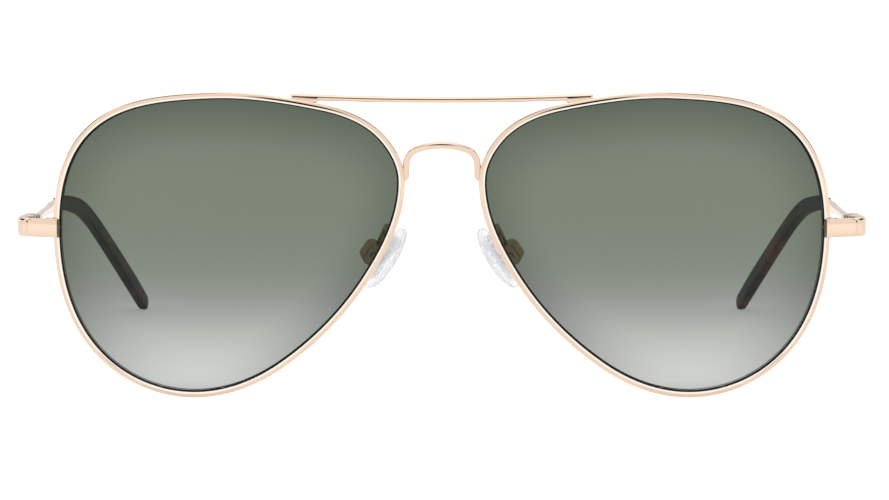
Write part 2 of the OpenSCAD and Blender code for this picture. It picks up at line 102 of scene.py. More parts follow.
# One eye, seen from the front: [outwards, up, heading] from the lens centre, starting outside, over the top.
EYE_SHAPE = [
    (29.8, 1.8, 91),
    (24.9, 17.6, 131),
    (3.2, 24.9, 177),
    (-15.8, 22.8, 193),
    (-25.9, 17.2, 231),
    (-28.8, 10.1, 270),
    (-22.7, -6.2, 303),
    (-8.4, -21, 324),
    (7.9, -26.7, 361),
    (23.3, -19.8, 408),
    (29.8, 1.8, 451),
]

# Side view of the temple, [back, up, heading], and the bridge seen from the front, [outwards, up, heading].
TEMPLE_SHAPE = [
    (END_Y + 0.05, END_Z, 0.5),
    (60, 1.85, -2.5),
    (87.6, -0.9, -7.9),
    (110.9, -8.1, -24.4),
    (TIP_END, -25.6, -33.1),
]
LEG_X = EYE_X - 30.05
BRIDGE_SHAPE = [(0, 16.85, 0), (LEG_X - 1.7, 16.1, -22), (LEG_X, 14, -80), (LEG_X + 0.02, 10.6, -91)]


# Curves


def heading(degrees):
    """A unit step in the direction of an angle."""
    return np.array([math.cos(math.radians(degrees)), math.sin(math.radians(degrees))])


def bezier(controls, t):
    """Point at t on the cubic curve with four control points."""
    start, leave, arrive, finish = controls
    near = (1 - t) ** 3 * start + 3 * (1 - t) ** 2 * t * leave
    return near + 3 * (1 - t) * t * t * arrive + t**3 * finish


def curve_point(a, b, t):
    """Point at t on the smooth curve between two nodes (x, y, heading)."""
    start, finish = np.array(a[:2], float), np.array(b[:2], float)
    reach = 2 * np.linalg.norm(finish - start) / (3 * (1 + math.cos(math.radians(b[2] - a[2]) / 2)))
    return bezier((start, start + reach * heading(a[2]), finish - reach * heading(b[2]), finish), t)


def stations(nodes, steps, closed=False):
    """Stations (x, y, heading in radians) along a list of nodes."""
    result = []
    for a, b in zip(nodes, nodes[1:]):
        for k in range(steps):
            t = k / steps
            here = curve_point(a, b, t)
            along = curve_point(a, b, t + 0.01) - curve_point(a, b, t - 0.01)
            result.append((here[0], here[1], math.atan2(along[1], along[0])))
    if not closed:
        x, y, turn = nodes[-1]
        result.append((x, y, math.radians(turn)))
    return result


def lookup(value, table):
    """Value from a table of (position, value) rows, with straight lines between the rows."""
    return float(np.interp(value, [row[0] for row in table], [row[1] for row in table]))


def smooth_lookup(value, table):
    """Like lookup(), but eased between the rows."""
    for (low, start), (high, finish) in zip(table, table[1:]):
        if value <= high:
            t = min(1, max(0, (value - low) / (high - low)))
            return start + (finish - start) * t * t * (3 - 2 * t)
    return table[-1][1]


def filleted(corners, steps):
    """Closed outline with rounded corners, from (x, y, radius) corners in order."""
    points = []
    count = len(corners)
    for i in range(count):
        here = np.array(corners[i][:2], float)
        before = np.array(corners[i - 1][:2], float) - here
        after = np.array(corners[(i + 1) % count][:2], float) - here
        back, on = before / np.linalg.norm(before), after / np.linalg.norm(after)
        half = math.acos(max(-1, min(1, float(back @ on)))) / 2
        radius = corners[i][2]
        if radius <= 0 or math.pi / 2 - half < 0.02:
            points.append(here)
            continue
        # Each side of the outline is shared by two fillets, or taken by one if its other corner is sharp.
        room = 0.48 if corners[i - 1][2] > 0 else 0.95
        room_on = 0.48 if corners[(i + 1) % count][2] > 0 else 0.95
        cut = min(radius / math.tan(half), room * np.linalg.norm(before), room_on * np.linalg.norm(after))
        radius = cut * math.tan(half)
        bisector = (back + on) / np.linalg.norm(back + on)
        centre = here + bisector * radius / math.sin(half)
        first, last = here + back * cut - centre, here + on * cut - centre
        sweep = math.atan2(first[0] * last[1] - first[1] * last[0], float(first @ last))
        for k in range(steps + 1):
            turn = sweep * k / steps
            c, s = math.cos(turn), math.sin(turn)
            points.append(centre + np.array([c * first[0] - s * first[1], s * first[0] + c * first[1]]))
    return points


def crowned(w, h, n, squareness):
    """Rounded rectangle of n points, w wide and h high, with crowned sides: flatter as squareness falls."""
    points = []
    for k in range(n):
        turn = 2 * math.pi * (k + 0.5) / n
        c, s = math.cos(turn), math.sin(turn)
        x, y = w / 2 * abs(c) ** squareness, h / 2 * abs(s) ** squareness
        points.append((math.copysign(x, c), math.copysign(y, s)))
    return points


# Meshes


def new_object(name, points, faces, materials):
    """Smooth-shaded object in metres from millimetre points in the front's own coordinates."""
    mesh = bpy.data.meshes.new(name)
    mesh.from_pydata([tuple((np.array(p) - ORIGIN) / 1000) for p in points], [], faces)
    for material in materials:
        mesh.materials.append(material)
    mesh.polygons.foreach_set("use_smooth", [True] * len(mesh.polygons))
    mesh.update()
    piece = bpy.data.objects.new(name, mesh)
    bpy.context.scene.collection.objects.link(piece)
    fix_normals(piece)
    return piece


def fix_normals(piece):
    """Joins points that coincide and turns every face outwards."""
    work = bmesh.new()
    work.from_mesh(piece.data)
    bmesh.ops.remove_doubles(work, verts=work.verts, dist=1e-8)
    bmesh.ops.recalc_face_normals(work, faces=work.faces)
    work.to_mesh(piece.data)
    work.free()


def skin_faces(count, size):
    """Quads between count rings of size points each, then the two end caps."""
    faces = []
    for i in range(count - 1):
        a, b = i * size, (i + 1) * size
        faces += [(a + j, a + (j + 1) % size, b + (j + 1) % size, b + j) for j in range(size)]
    return faces + [tuple(reversed(range(size))), tuple(range((count - 1) * size, count * size))]


def skinned(name, rings, materials):
    """Closed solid through a list of rings."""
    points = [p for ring in rings for p in ring]
    return new_object(name, points, skin_faces(len(rings), len(rings[0])), materials)


def mirrored(piece, name):
    """Mirror image of a piece, for the other side."""
    twin = piece.copy()
    twin.data = piece.data.copy()
    twin.name = name
    twin.data.name = name
    work = bmesh.new()
    work.from_mesh(twin.data)
    for vertex in work.verts:
        vertex.co.x = -vertex.co.x
    bmesh.ops.reverse_faces(work, faces=work.faces)
    work.to_mesh(twin.data)
    work.free()
    bpy.context.scene.collection.objects.link(twin)
    return twin


def round_ends(piece, width=0.09):
    """Small bevel on sharp edges such as cut ends."""
    bevel = piece.modifiers.new("edge", "BEVEL")
    bevel.width = width / 1000
    bevel.segments = 3
    bevel.limit_method = "ANGLE"
    bevel.angle_limit = math.radians(50)
    return bevel


def finish_small(piece, width=0.06):
    """Rounds the edges of a small solid part and shades it cleanly."""
    bevel = round_ends(piece, width)
    bevel.angle_limit = math.radians(35)
    bevel.harden_normals = True


def shape(name, part, material):
    """Object from the points and faces of a solid part."""
    points, faces = part
    return new_object(name, points, faces, [material])


def combine(piece, part, operation):
    """Adds a solid part of the same material to a piece, or cuts it away."""
    other = shape("part", part, piece.data.materials[0])
    step = piece.modifiers.new("step", "BOOLEAN")
    step.operation = operation
    step.solver = "EXACT"
    step.object = other
    mesh = bpy.data.meshes.new_from_object(piece.evaluated_get(bpy.context.evaluated_depsgraph_get()))
    piece.modifiers.clear()
    piece.data = mesh
    bpy.data.objects.remove(other)


def slab(low, high, matrix):
    """Points and faces of a block between two corners."""
    points = []
    for z in (low[2], high[2]):
        for y in (low[1], high[1]):
            points += [matrix @ Vector((x, y, z)) for x in (low[0], high[0])]
    return points, [(0, 2, 3, 1), (4, 5, 7, 6), (0, 1, 5, 4), (1, 3, 7, 5), (3, 2, 6, 7), (2, 0, 4, 6)]


def prism(outline, low, high, matrix):
    """Points and faces of a flat outline in the XZ plane of matrix, made solid from y = low to y = high."""
    points = [matrix @ Vector((x, y, z)) for y in (low, high) for x, z in outline]
    return points, skin_faces(2, len(outline))


def disc(radius, low, high, matrix):
    """Points and faces of a solid cylinder."""
    points = []
    for z in (low, high):
        for k in range(ROUND_STEPS):
            turn = 2 * math.pi * k / ROUND_STEPS
            points.append(matrix @ Vector((radius * math.cos(turn), radius * math.sin(turn), z)))
    return points, skin_faces(2, ROUND_STEPS)


def bore(radius, matrix):
    """Points and faces of a cutter for a round hole right through a small part."""
    return disc(radius, -THROUGH, THROUGH, matrix)


def lathe(profile, matrix):
    """Points and faces of a closed (radius, height) outline turned about the Z axis of matrix."""
    points, faces = [], []
    count = len(profile)
    for k in range(ROUND_STEPS):
        turn = 2 * math.pi * k / ROUND_STEPS
        for radius, height in profile:
            points.append(matrix @ Vector((radius * math.cos(turn), radius * math.sin(turn), height)))
        a, b = k * count, (k + 1) % ROUND_STEPS * count
        faces += [(a + j, b + j, b + (j + 1) % count, a + (j + 1) % count) for j in range(count)]
    return points, faces


def remove_flat(piece):
    """Removes the faces of no area left by points on a lathe's axis."""
    work = bmesh.new()
    work.from_mesh(piece.data)
    bmesh.ops.dissolve_degenerate(work, dist=1e-8, edges=work.edges)
    bmesh.ops.recalc_face_normals(work, faces=work.faces)
    work.to_mesh(piece.data)
    work.free()


def screw(name, shank, head, head_h, total, matrix):
    """Slotted screw with a slightly domed head; the top of its head is at the origin of matrix."""
    slot_w, slot_deep, tip = 0.2, 0.22, 0.06
    dome = [(0, 0), (head * 0.6, -0.02), (head * 0.88, -0.06), (head, -0.13), (head, -head_h)]
    outline = dome + [(shank, -head_h), (shank, tip - total), (shank - tip, -total), (0, -total)]
    piece = shape(name, lathe(outline, matrix), STEEL)
    remove_flat(piece)
    slot = slab((-head - 0.1, -slot_w / 2, -slot_deep), (head + 0.1, slot_w / 2, 0.3), matrix)
    combine(piece, slot, "DIFFERENCE")
    finish_small(piece, 0.03)
    return piece


def place(piece, body, node):
    """Rides a piece on its body, standing for a CAD node."""
    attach(piece, body)
    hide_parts(node)


def both(piece, stem, moving=None):
    """Places a left piece and its mirror image for both nodes of a stem, on the front or on moving bodies."""
    twin = mirrored(piece, piece.name.replace("left", "right"))
    for part, side in ((piece, "left"), (twin, "right")):
        place(part, f"{moving}_{side}_body" if moving else "front", f"{stem}_{side}")


# Materials


def display(r, g, b):
    """Linear colour of a display colour given in 0 to 255."""
    return tuple(((v / 255 + 0.055) / 1.055) ** 2.4 if v > 10 else v / 255 / 12.92 for v in (r, g, b))


class Nodes:
    """Short way to add and link shader nodes."""

    def __init__(self, name):
        self.material = bpy.data.materials.new(name)
        self.material.use_nodes = True
        self.tree = self.material.node_tree
        self.tree.nodes.clear()
        self.place = self.add("ShaderNodeTexCoord").outputs["Object"]

    def add(self, kind, inputs=None, **settings):
        node = self.tree.nodes.new(kind)
        for key, value in settings.items():
            setattr(node, key, value)
        for key, value in (inputs or {}).items():
            if isinstance(value, bpy.types.NodeSocket):
                self.tree.links.new(value, node.inputs[key])
            else:
                node.inputs[key].default_value = value
        return node

    def noise(self, scale, detail, stretch=(1, 1, 1), distortion=0.0):
        spread = self.add("ShaderNodeMapping", {"Vector": self.place, "Scale": stretch}).outputs[0]
        settings = {"Vector": spread, "Scale": scale, "Detail": detail, "Distortion": distortion}
        return self.add("ShaderNodeTexNoise", settings).outputs["Fac"]

    def mapped(self, value, low, high, to_low, to_high):
        settings = {0: value, 1: low, 2: high, 3: to_low, 4: to_high}
        return self.add("ShaderNodeMapRange", settings).outputs[0]

    def ramp(self, value, stops):
        node = self.add("ShaderNodeValToRGB", {0: value})
        bar = node.color_ramp
        while len(bar.elements) < len(stops):
            bar.elements.new(0.5)
        for element, (position, colour) in zip(bar.elements, stops):
            element.position = position
            element.color = (*colour, 1)
        return node.outputs[0]

    def larger(self, a, b):
        return self.add("ShaderNodeMath", {0: a, 1: b}, operation="MAXIMUM").outputs[0]

    def bump(self, height, distance, strength):
        settings = {"Height": height, "Distance": distance, "Strength": strength}
        return self.add("ShaderNodeBump", settings).outputs[0]

    def finish(self, shader):
        self.add("ShaderNodeOutputMaterial", {"Surface": shader})
        return self.material


def metal(name, light, deep, smooth, rough):
    """Polished plating with slight colour drift, uneven polish and hairline marks."""
    n = Nodes(name)
    colour = n.ramp(n.noise(90, 2), [(0.3, deep), (0.7, light)])
    polish = n.mapped(n.noise(700, 4), 0.3, 0.7, smooth, rough)
    marks = n.noise(5000, 2, (1, 1, 0.15))
    normal = n.bump(marks, 4e-6, 0.15)
    settings = {"Base Color": colour, "Metallic": 1.0, "Roughness": polish, "Normal": normal}
    return n.finish(n.add("ShaderNodeBsdfPrincipled", settings).outputs[0])


# Display colours of the white background through the lens, by share of the front's height above the table.
# GLARE is the light that the lens adds, and PASS the brightness of the background behind a clear lens.
GLARE, PASS = 0.016, 1.33
LENS_TINTS = [
    (0.06, (233, 235, 231)),
    (0.135, (208, 211, 206)),
    (0.27, (168, 174, 167)),
    (0.345, (148, 153, 147)),
    (0.42, (135, 143, 132)),
    (0.5, (129, 138, 125)),
    (0.6, (127, 136, 121)),
    (0.72, (127, 136, 121)),
    (0.82, (125, 134, 120)),
    (0.9, (120, 129, 114)),
    (0.98, (114, 126, 110)),
]


def lens_material():
    """Gradient tint: grey-green above and nearly clear below; also a little darker towards the rim."""
    n = Nodes("gradient_lens")
    height = n.add("ShaderNodeSeparateXYZ", {0: n.place}).outputs["Z"]
    share = n.mapped(height, 0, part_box("rim_left")[1].z, 0, 1)
    stops = []
    for position, shown in LENS_TINTS:
        through = [max(0.0, (v - GLARE) / PASS) for v in display(*shown)]
        stops.append((position, [math.sqrt(v) for v in through]))
    tint = n.ramp(share, stops)
    edge = n.add("ShaderNodeAttribute", attribute_name="rimward").outputs["Fac"]
    settings = {0: n.mapped(edge, 0, 1, 0, 0.17), 6: tint, 7: (0, 0, 0, 1)}
    deep = n.add("ShaderNodeMix", settings, data_type="RGBA").outputs[2]
    seen = n.add("ShaderNodeBsdfRefraction", {"Color": deep, "Roughness": 0.0, "IOR": 1.5}).outputs[0]
    lit = n.add("ShaderNodeBsdfTransparent", {"Color": deep}).outputs[0]
    ray = n.add("ShaderNodeLightPath").outputs
    straight = n.larger(ray["Is Shadow Ray"], ray["Is Diffuse Ray"])
    clear = n.add("ShaderNodeMixShader", {0: straight, 1: seen, 2: lit}).outputs[0]
    waves = n.bump(n.noise(40, 1), 1e-5, 0.02)
    gloss = n.add("ShaderNodeBsdfGlossy", {"Roughness": 0.3, "Normal": waves}).outputs[0]
    inside = n.add("ShaderNodeNewGeometry").outputs["Backfacing"]
    fresnel = n.add("ShaderNodeFresnel", {"IOR": 1.5}).outputs[0]
    coated = n.add("ShaderNodeMath", {0: fresnel, 1: 0.4}, operation="MULTIPLY").outputs[0]
    shine = n.add("ShaderNodeMath", {0: coated, 1: inside}, operation="SUBTRACT", use_clamp=True).outputs[0]
    return n.finish(n.add("ShaderNodeMixShader", {0: shine, 1: clear, 2: gloss}).outputs[0])


def painted_shade_edge_material():
    """Lens edge painted nearly black: painted shade for the dark line where light runs long through the
    tinted edge.
    """
    n = Nodes("lens_edge_painted_shade")
    colour = n.ramp(n.noise(800, 2), [(0.3, (0.006, 0.005, 0.002)), (0.7, (0.014, 0.011, 0.004))])
    return n.finish(n.add("ShaderNodeBsdfDiffuse", {"Color": colour}).outputs[0])


def tortoise_material():
    """Near-black brown plastic with soft amber patches, polished."""
    n = Nodes("tortoise")
    amber_place = (0.0662, 0.0475, 0.0153)  # one sure patch, on the left tip
    settings = {0: n.place, 1: amber_place}
    far = n.add("ShaderNodeVectorMath", settings, operation="DISTANCE").outputs["Value"]
    extra = n.mapped(far, 0.004, 0.011, 0.2, 0)
    patches = n.add("ShaderNodeMath", {0: n.noise(130, 3, (1, 0.6, 1), 1.2), 1: extra}).outputs[0]
    browns = [(0.42, (0.008, 0.007, 0.006)), (0.55, (0.022, 0.012, 0.009)), (0.72, (0.16, 0.045, 0.018))]
    colour = n.ramp(patches, browns)
    polish = n.mapped(n.noise(900, 3), 0.3, 0.7, 0.28, 0.36)
    settings = {
        "Base Color": colour,
        "Roughness": polish,
        "IOR": 1.38,
        "Specular IOR Level": 0.2,
        "Normal": n.bump(n.noise(1500, 2), 1e-5, 0.1),
    }
    return n.finish(n.add("ShaderNodeBsdfPrincipled", settings).outputs[0])


def silicone_material():
    """Clear, slightly milky soft plastic with a satin skin; painted shade makes it greyer where it turns
    away, and a painted glow lightens it.
    """
    n = Nodes("clear_silicone")
    skin = n.bump(n.noise(250, 2), 1e-5, 0.15)
    rough = n.mapped(n.noise(500, 2), 0.3, 0.7, 0.16, 0.28)
    facing = n.add("ShaderNodeLayerWeight", {"Blend": 0.5}).outputs["Facing"]
    # Grey ramp by facing: near white face-on, painted shade where the pad turns away.
    greys = [
        (0.3, (0.83, 0.83, 0.85)),
        (0.6, (0.79, 0.79, 0.81)),
        (0.8, (0.52, 0.53, 0.54)),
        (0.97, (0.6, 0.6, 0.61)),
    ]
    shade = n.ramp(facing, greys)
    settings = {
        "Base Color": shade,
        "Roughness": rough,
        "IOR": 1.41,
        "Transmission Weight": 1.0,
        "Normal": skin,
    }
    glass = n.add("ShaderNodeBsdfPrincipled", settings).outputs[0]
    through = n.add("ShaderNodeBsdfTranslucent", {"Color": shade, "Normal": skin}).outputs[0]
    # Painted glow: emission that lights the pad from within, standing in for light scattered through it.
    depth = n.add("ShaderNodeEmission", {"Color": shade, "Strength": 0.25}).outputs[0]
    milk_and_glow = n.add("ShaderNodeAddShader", {0: through, 1: depth}).outputs[0]
    return n.finish(n.add("ShaderNodeMixShader", {0: 0.55, 1: glass, 2: milk_and_glow}).outputs[0])


def core_material():
    """Frosted plate inside the soft pad."""
    n = Nodes("pad_core")
    colour = n.ramp(n.noise(600, 2), [(0.3, (0.95, 0.95, 0.96)), (0.7, (0.99, 0.99, 1.0))])
    settings = {"Base Color": colour, "Roughness": 0.45, "Transmission Weight": 0.6, "IOR": 1.45}
    return n.finish(n.add("ShaderNodeBsdfPrincipled", settings).outputs[0])


GOLD = metal("rose_gold", (0.87, 0.675, 0.53), (0.83, 0.63, 0.485), 0.05, 0.09)
# Lighter gold for the rim's inner bevel: a painted highlight, the white line along the lens.
PAINTED_HIGHLIGHT_GOLD = metal("bright_cut_gold", (1.0, 0.92, 0.82), (0.98, 0.89, 0.78), 0.06, 0.1)
HINGE_GOLD = metal("hinge_gold", (0.88, 0.79, 0.69), (0.83, 0.73, 0.62), 0.1, 0.18)
# Darker, browner gold for the pad boxes and pad arms behind the lens: painted shade.
PAD_GOLD_PAINTED_SHADE = metal("pad_gold_painted_shade", (0.62, 0.49, 0.27), (0.52, 0.4, 0.2), 0.08, 0.14)
STEEL = metal("screw_steel", (0.55, 0.52, 0.48), (0.44, 0.41, 0.37), 0.18, 0.3)
LENS = lens_material()
LENS_EDGE_PAINTED_SHADE = painted_shade_edge_material()
TORTOISE = tortoise_material()
SILICONE = silicone_material()
PAD_CORE = core_material()


# Rims and lenses

EYE = stations(EYE_SHAPE, 26, closed=True)
HALF_W, HALF_D, HALF_T = RIM_W / 2, RIM_D / 2, LENS_T / 2


def eye_point(station, a, b, scale=1.0):
    """Point of the left eye, a outwards from the outline and b forwards from the lens's middle surface."""
    x, y, turn = station
    u, v = scale * (x + a * math.sin(turn)), scale * (y - a * math.cos(turn))
    stretch = (LENS_R + b) / LENS_R
    depth = LENS_R - stretch * math.sqrt(LENS_R**2 - u * u - v * v)
    across, up = stretch * u, stretch * v
    back = depth * math.cos(TILT) - up * math.sin(TILT)
    rise = depth * math.sin(TILT) + up * math.cos(TILT)
    return np.array([
        EYE_X + across * math.cos(WRAP) - back * math.sin(WRAP),
        across * math.sin(WRAP) + back * math.cos(WRAP),
        rise,
    ])


# Rim section, [outwards, forwards, corner radius]: inner bevel (given a painted highlight), groove for the
# lens, crowned front.
BEVEL = 0.24
GROOVE_W, GROOVE_DEEP = 0.9, 0.38
CROWN = [(0.08 * k + 0.06, HALF_D + 0.03 - 0.00128 * k * k, 0) for k in (2, 1, 0, -1)]
RIM_SECTION = filleted(
    [
        (BEVEL - HALF_W, HALF_D, 0.12),
        (-HALF_W, HALF_D - BEVEL, 0.08),
        (-HALF_W, GROOVE_W / 2, 0.06),
        (GROOVE_DEEP - HALF_W, 0, 0.08),
        (-HALF_W, -GROOVE_W / 2, 0.06),
        (-0.1, -HALF_D, 0.3),
        (HALF_W, -HALF_D, 0.3),
        (HALF_W, HALF_D - 0.02, 0.25),
    ]
    + CROWN,
    5,
)


def make_rims():
    """Rim from one side of its gap right round to the other, with the bevel's faces in a lighter gold: a
    painted highlight.
    """
    x, y, turn = EYE[0]
    line = [(x, y + RIM_GAP / 2, turn)] + EYE[1:] + [(x, y - RIM_GAP / 2, turn)]
    rings = [[eye_point(s, a, b) for a, b in RIM_SECTION] for s in line]
    rim = skinned("smooth_rim_left", rings, [GOLD, PAINTED_HIGHLIGHT_GOLD])
    size = len(RIM_SECTION)
    # The inner bevel's faces take the lighter gold, a painted highlight line.
    for face in rim.data.polygons[:size * (len(rings) - 1)]:
        a, b = RIM_SECTION[face.index % size], RIM_SECTION[(face.index + 1) % size]
        if b[0] < a[0] < BEVEL - HALF_W + 0.04 and b[1] > HALF_D - BEVEL - 0.02:
            face.material_index = 1
    both(rim, "rim")


def make_lenses():
    """Lens with a V edge in the rim's groove; the attribute rimward grows from 0 to 1 near the edge."""
    face_in, ground, tongue = HALF_W + 0.05, 0.5, 0.34
    deep_start = 0.66
    scales = [0.04, 0.14, 0.26, 0.38, 0.5, 0.61, 0.71, 0.8, 0.87, 0.93, 0.97, 0.995]
    rings = [[eye_point(s, -face_in, HALF_T, k) for s in EYE] for k in scales]
    edge = [
        (-face_in, HALF_T),
        (-face_in, ground),
        (tongue - face_in, 0),
        (-face_in, -ground),
        (-face_in, -HALF_T),
    ]
    rings += [[eye_point(s, a, b) for s in EYE] for a, b in edge]
    rings += [[eye_point(s, -face_in, -HALF_T, k) for s in EYE] for k in reversed(scales)]
    lens = skinned("smooth_lens_left", rings, [LENS, LENS_EDGE_PAINTED_SHADE])
    size = len(EYE)
    first_edge = len(scales) * size
    # The two bevel rows of the edge are painted nearly black: painted shade, the dark line along the rim.
    for face in lens.data.polygons[first_edge:first_edge + 2 * size]:
        face.material_index = 1
    reaches = scales + [1] * len(edge) + list(reversed(scales))
    deep = [min(1, max(0, (k - deep_start) / (1 - deep_start))) ** 1.5 for k in reaches for _ in EYE]
    attribute = lens.data.attributes.new("rimward", "FLOAT", "POINT")
    attribute.data.foreach_set("value", deep)
    lens.data.set_sharp_from_angle(angle=math.radians(30))
    both(lens, "lens")


# Brow bar and bridge


def make_brow_bar():
    """Bar that sags a little in the middle and has a deeper foot on each rim."""
    foot_in, foot_edge, mid_z, end_z = 21, 0.25, 24.55, 25.1
    section = crowned(BROW_D, BROW_H, 32, 0.66)
    rings = []
    for k in range(-72, 73):
        x = BROW_REACH * k / 72
        z = mid_z + (end_z - mid_z) * (x / BROW_REACH) ** 2
        y = 0.1 + 0.4 * (x / BROW_REACH) ** 2
        foot = min(1, max(0, (abs(x) - foot_in) / foot_edge))
        drop = foot * (0.35 + 0.075 * (BROW_REACH - abs(x)))
        rings.append([(x, y - q, z + r - (drop if r < 0 else 0)) for q, r in section])
    bar = skinned("smooth_brow_bar", rings, [GOLD])
    round_ends(bar)
    place(bar, "front", "brow_bar")


def make_bridge():
    """Arched wire whose legs thin out against the rims at their lower ends."""
    leg_low, arch_high = 11, 16.85
    thin_start, thin_length, thin_share = 11.7, 1.1, 0.75
    half = stations(BRIDGE_SHAPE, 20)
    line = [(-x, z, -turn) for x, z, turn in reversed(half[1:])] + half
    rings = []
    for x, z, turn in line:
        y = 1.95 - 1.25 * (max(0, z - leg_low) / (arch_high - leg_low)) ** 2
        across = (-math.sin(turn), math.cos(turn))
        taper = 1 - thin_share * max(0, (thin_start - z) / thin_length) ** 2
        shift = math.copysign((1 - taper) * BRIDGE_W / 2, x)
        section = crowned(BRIDGE_W * taper, BRIDGE_D, 40, 0.55)
        rings.append([(x + shift + q * across[0], y - r, z + q * across[1]) for q, r in section])
    bridge = skinned("smooth_bridge", rings, [GOLD])
    round_ends(bridge)
    place(bridge, "front", "bridge")


# End pieces, rim locks and hinges

SPLIT = (EYE_SHAPE[0][0], EYE_SHAPE[0][1], math.radians(EYE_SHAPE[0][2]))
SPLIT_MIDDLE = eye_point(SPLIT, 0, 0)
SPLIT_FRONT = eye_point(SPLIT, 0, HALF_D)
SPLIT_FORWARD = (SPLIT_FRONT - SPLIT_MIDDLE) / HALF_D
FACE_ANGLE = math.atan2(SPLIT_FORWARD[1], SPLIT_FORWARD[0]) + math.pi / 2


def end_line():
    """Middle of the end piece, seen from above: along the rim's face, round the bend, straight back."""
    proud, inner_reach = 0.16, 0.9
    c, s = math.cos(FACE_ANGLE), math.sin(FACE_ANGLE)
    start = SPLIT_FRONT + (END_T / 2 + proud) * SPLIT_FORWARD - inner_reach * np.array([c, s, 0])
    line_x = SIDE_X - END_T / 2
    bend_x = line_x - END_BEND_R * (1 - s)
    bend_y = start[1] + (bend_x - start[0]) * math.tan(FACE_ANGLE)
    centre_x, centre_y = line_x - END_BEND_R, bend_y + END_BEND_R * c
    line = []
    for k in range(8):
        x, y = start[0] + (bend_x - start[0]) * k / 8, start[1] + (bend_y - start[1]) * k / 8
        line.append((x, y, FACE_ANGLE))
    for k in range(25):
        turn = FACE_ANGLE + (math.pi / 2 - FACE_ANGLE) * k / 24
        line.append((centre_x + END_BEND_R * math.sin(turn), centre_y - END_BEND_R * math.cos(turn), turn))
    last_y = line[-1][1]
    return line + [(line_x, last_y + (END_Y - last_y) * k / 6, math.pi / 2) for k in range(1, 7)]


def make_end_pieces():
    """Flat lug, thinner where it lies on the rim, that keeps its back face in line."""
    rings = []
    for x, y, turn in end_line():
        t = lookup(math.degrees(turn - FACE_ANGLE), [(0, 1.1), (12, END_T)])
        ring = []
        for q, r in crowned(t, END_H, 48, 0.47):
            out = q + (t - END_T) / 2
            ring.append((x + out * math.sin(turn), y - out * math.cos(turn), END_Z + r))
        rings.append(ring)
    piece = skinned("smooth_end_piece_left", rings, [GOLD])
    round_ends(piece)
    both(piece, "end_piece")


def make_front_hinges():
    """Leaf with an upper and a lower barrel, bored for the hinge screw and sunk for its head."""
    half = END_H / 2
    leaf = slab((LEAF_IN, -2.8, -half), (BARREL_R, -LEAF_BACK, half), HINGE_PLACE)
    hinge = shape("smooth_front_hinge_left", leaf, HINGE_GOLD)
    for k in (-1, 1):
        middle = k * (BARREL_H + BARREL_GAP)
        low, high = middle - BARREL_H / 2, middle + BARREL_H / 2
        combine(hinge, slab((LEAF_IN, -LEAF_BACK - 0.1, low), (BARREL_R, 0, high), HINGE_PLACE), "UNION")
        combine(hinge, disc(BARREL_R, low, high, HINGE_PLACE), "UNION")
    combine(hinge, bore(HINGE_SCREW_R + HELD_GAP, HINGE_PLACE), "DIFFERENCE")
    seat = disc(HINGE_HEAD_R + HELD_GAP, half - HINGE_HEAD_H, half + 1, HINGE_PLACE)
    combine(hinge, seat, "DIFFERENCE")
    finish_small(hinge)
    both(hinge, "front_hinge")


def make_temple_hinges():
    """Leaf with the middle barrel, bored to turn on the hinge screw."""
    half, leaf_half = BARREL_H / 2, 1.1
    leaf = slab((LEAF_IN, LEAF_BACK, -leaf_half), (BARREL_R, 5.5, leaf_half), HINGE_PLACE)
    hinge = shape("smooth_temple_hinge_left", leaf, HINGE_GOLD)
    combine(hinge, slab((LEAF_IN, 0, -half), (BARREL_R, LEAF_BACK + 0.1, half), HINGE_PLACE), "UNION")
    combine(hinge, disc(BARREL_R, -half, half, HINGE_PLACE), "UNION")
    combine(hinge, bore(HINGE_SCREW_R + RUNNING_GAP, HINGE_PLACE), "DIFFERENCE")
    finish_small(hinge)
    both(hinge, "temple_hinge", "temple")


def make_hinge_screws():
    """Hinge pins with their heads sunk in the upper barrels, slots turned as assembly left them."""
    at = HINGE_PLACE @ Matrix.Translation((0, 0, END_H / 2 + HELD_GAP)) @ Matrix.Rotation(0.6, 4, "Z")
    pin = screw("smooth_hinge_screw_left", HINGE_SCREW_R, HINGE_HEAD_R, HINGE_HEAD_H, END_H, at)
    both(pin, "hinge_screw")


def make_rim_locks():
    """Two blocks outside the rim's gap and the screw that pulls them together."""
    outside = Matrix.Translation((HALF_W + BLOCK_W / 2 + 0.12, 0, 0))
    at = Matrix.Translation(SPLIT_MIDDLE) @ Matrix.Rotation(FACE_ANGLE, 4, "Z") @ outside
    top = RIM_GAP / 2 + BLOCK_H
    for stem, low in (("upper_closing_block", RIM_GAP / 2), ("lower_closing_block", -top)):
        corners = ((-BLOCK_W / 2, -BLOCK_D / 2, low), (BLOCK_W / 2, BLOCK_D / 2, low + BLOCK_H))
        block = shape(f"smooth_{stem}_left", slab(*corners, at), HINGE_GOLD)
        combine(block, bore(RIM_SCREW_R + HELD_GAP, at), "DIFFERENCE")
        combine(block, disc(RIM_HEAD_R + HELD_GAP, top - RIM_HEAD_H, top + 1, at), "DIFFERENCE")
        finish_small(block, 0.12)
        both(block, stem)
    head = at @ Matrix.Translation((0, 0, top + HELD_GAP)) @ Matrix.Rotation(0.9, 4, "Z")
    pin = screw("smooth_rim_screw_left", RIM_SCREW_R, RIM_HEAD_R, RIM_HEAD_H, 2 * top, head)
    both(pin, "rim_screw")


# Nose pads


def pad_matrix():
    """The pad's own frame: origin on the pad screw, -X towards the nose, Y across and Z along the pad."""
    turns = Matrix.Rotation(PAD_PITCH, 4, "X") @ Matrix.Rotation(-PAD_LEAN, 4, "Y")
    return Matrix.Translation(PAD_PLACE) @ turns @ Matrix.Rotation(-PAD_SPLAY, 4, "Z")


PAD = pad_matrix()
ACROSS_PAD = PAD @ Matrix.Rotation(math.pi / 2, 4, "X")


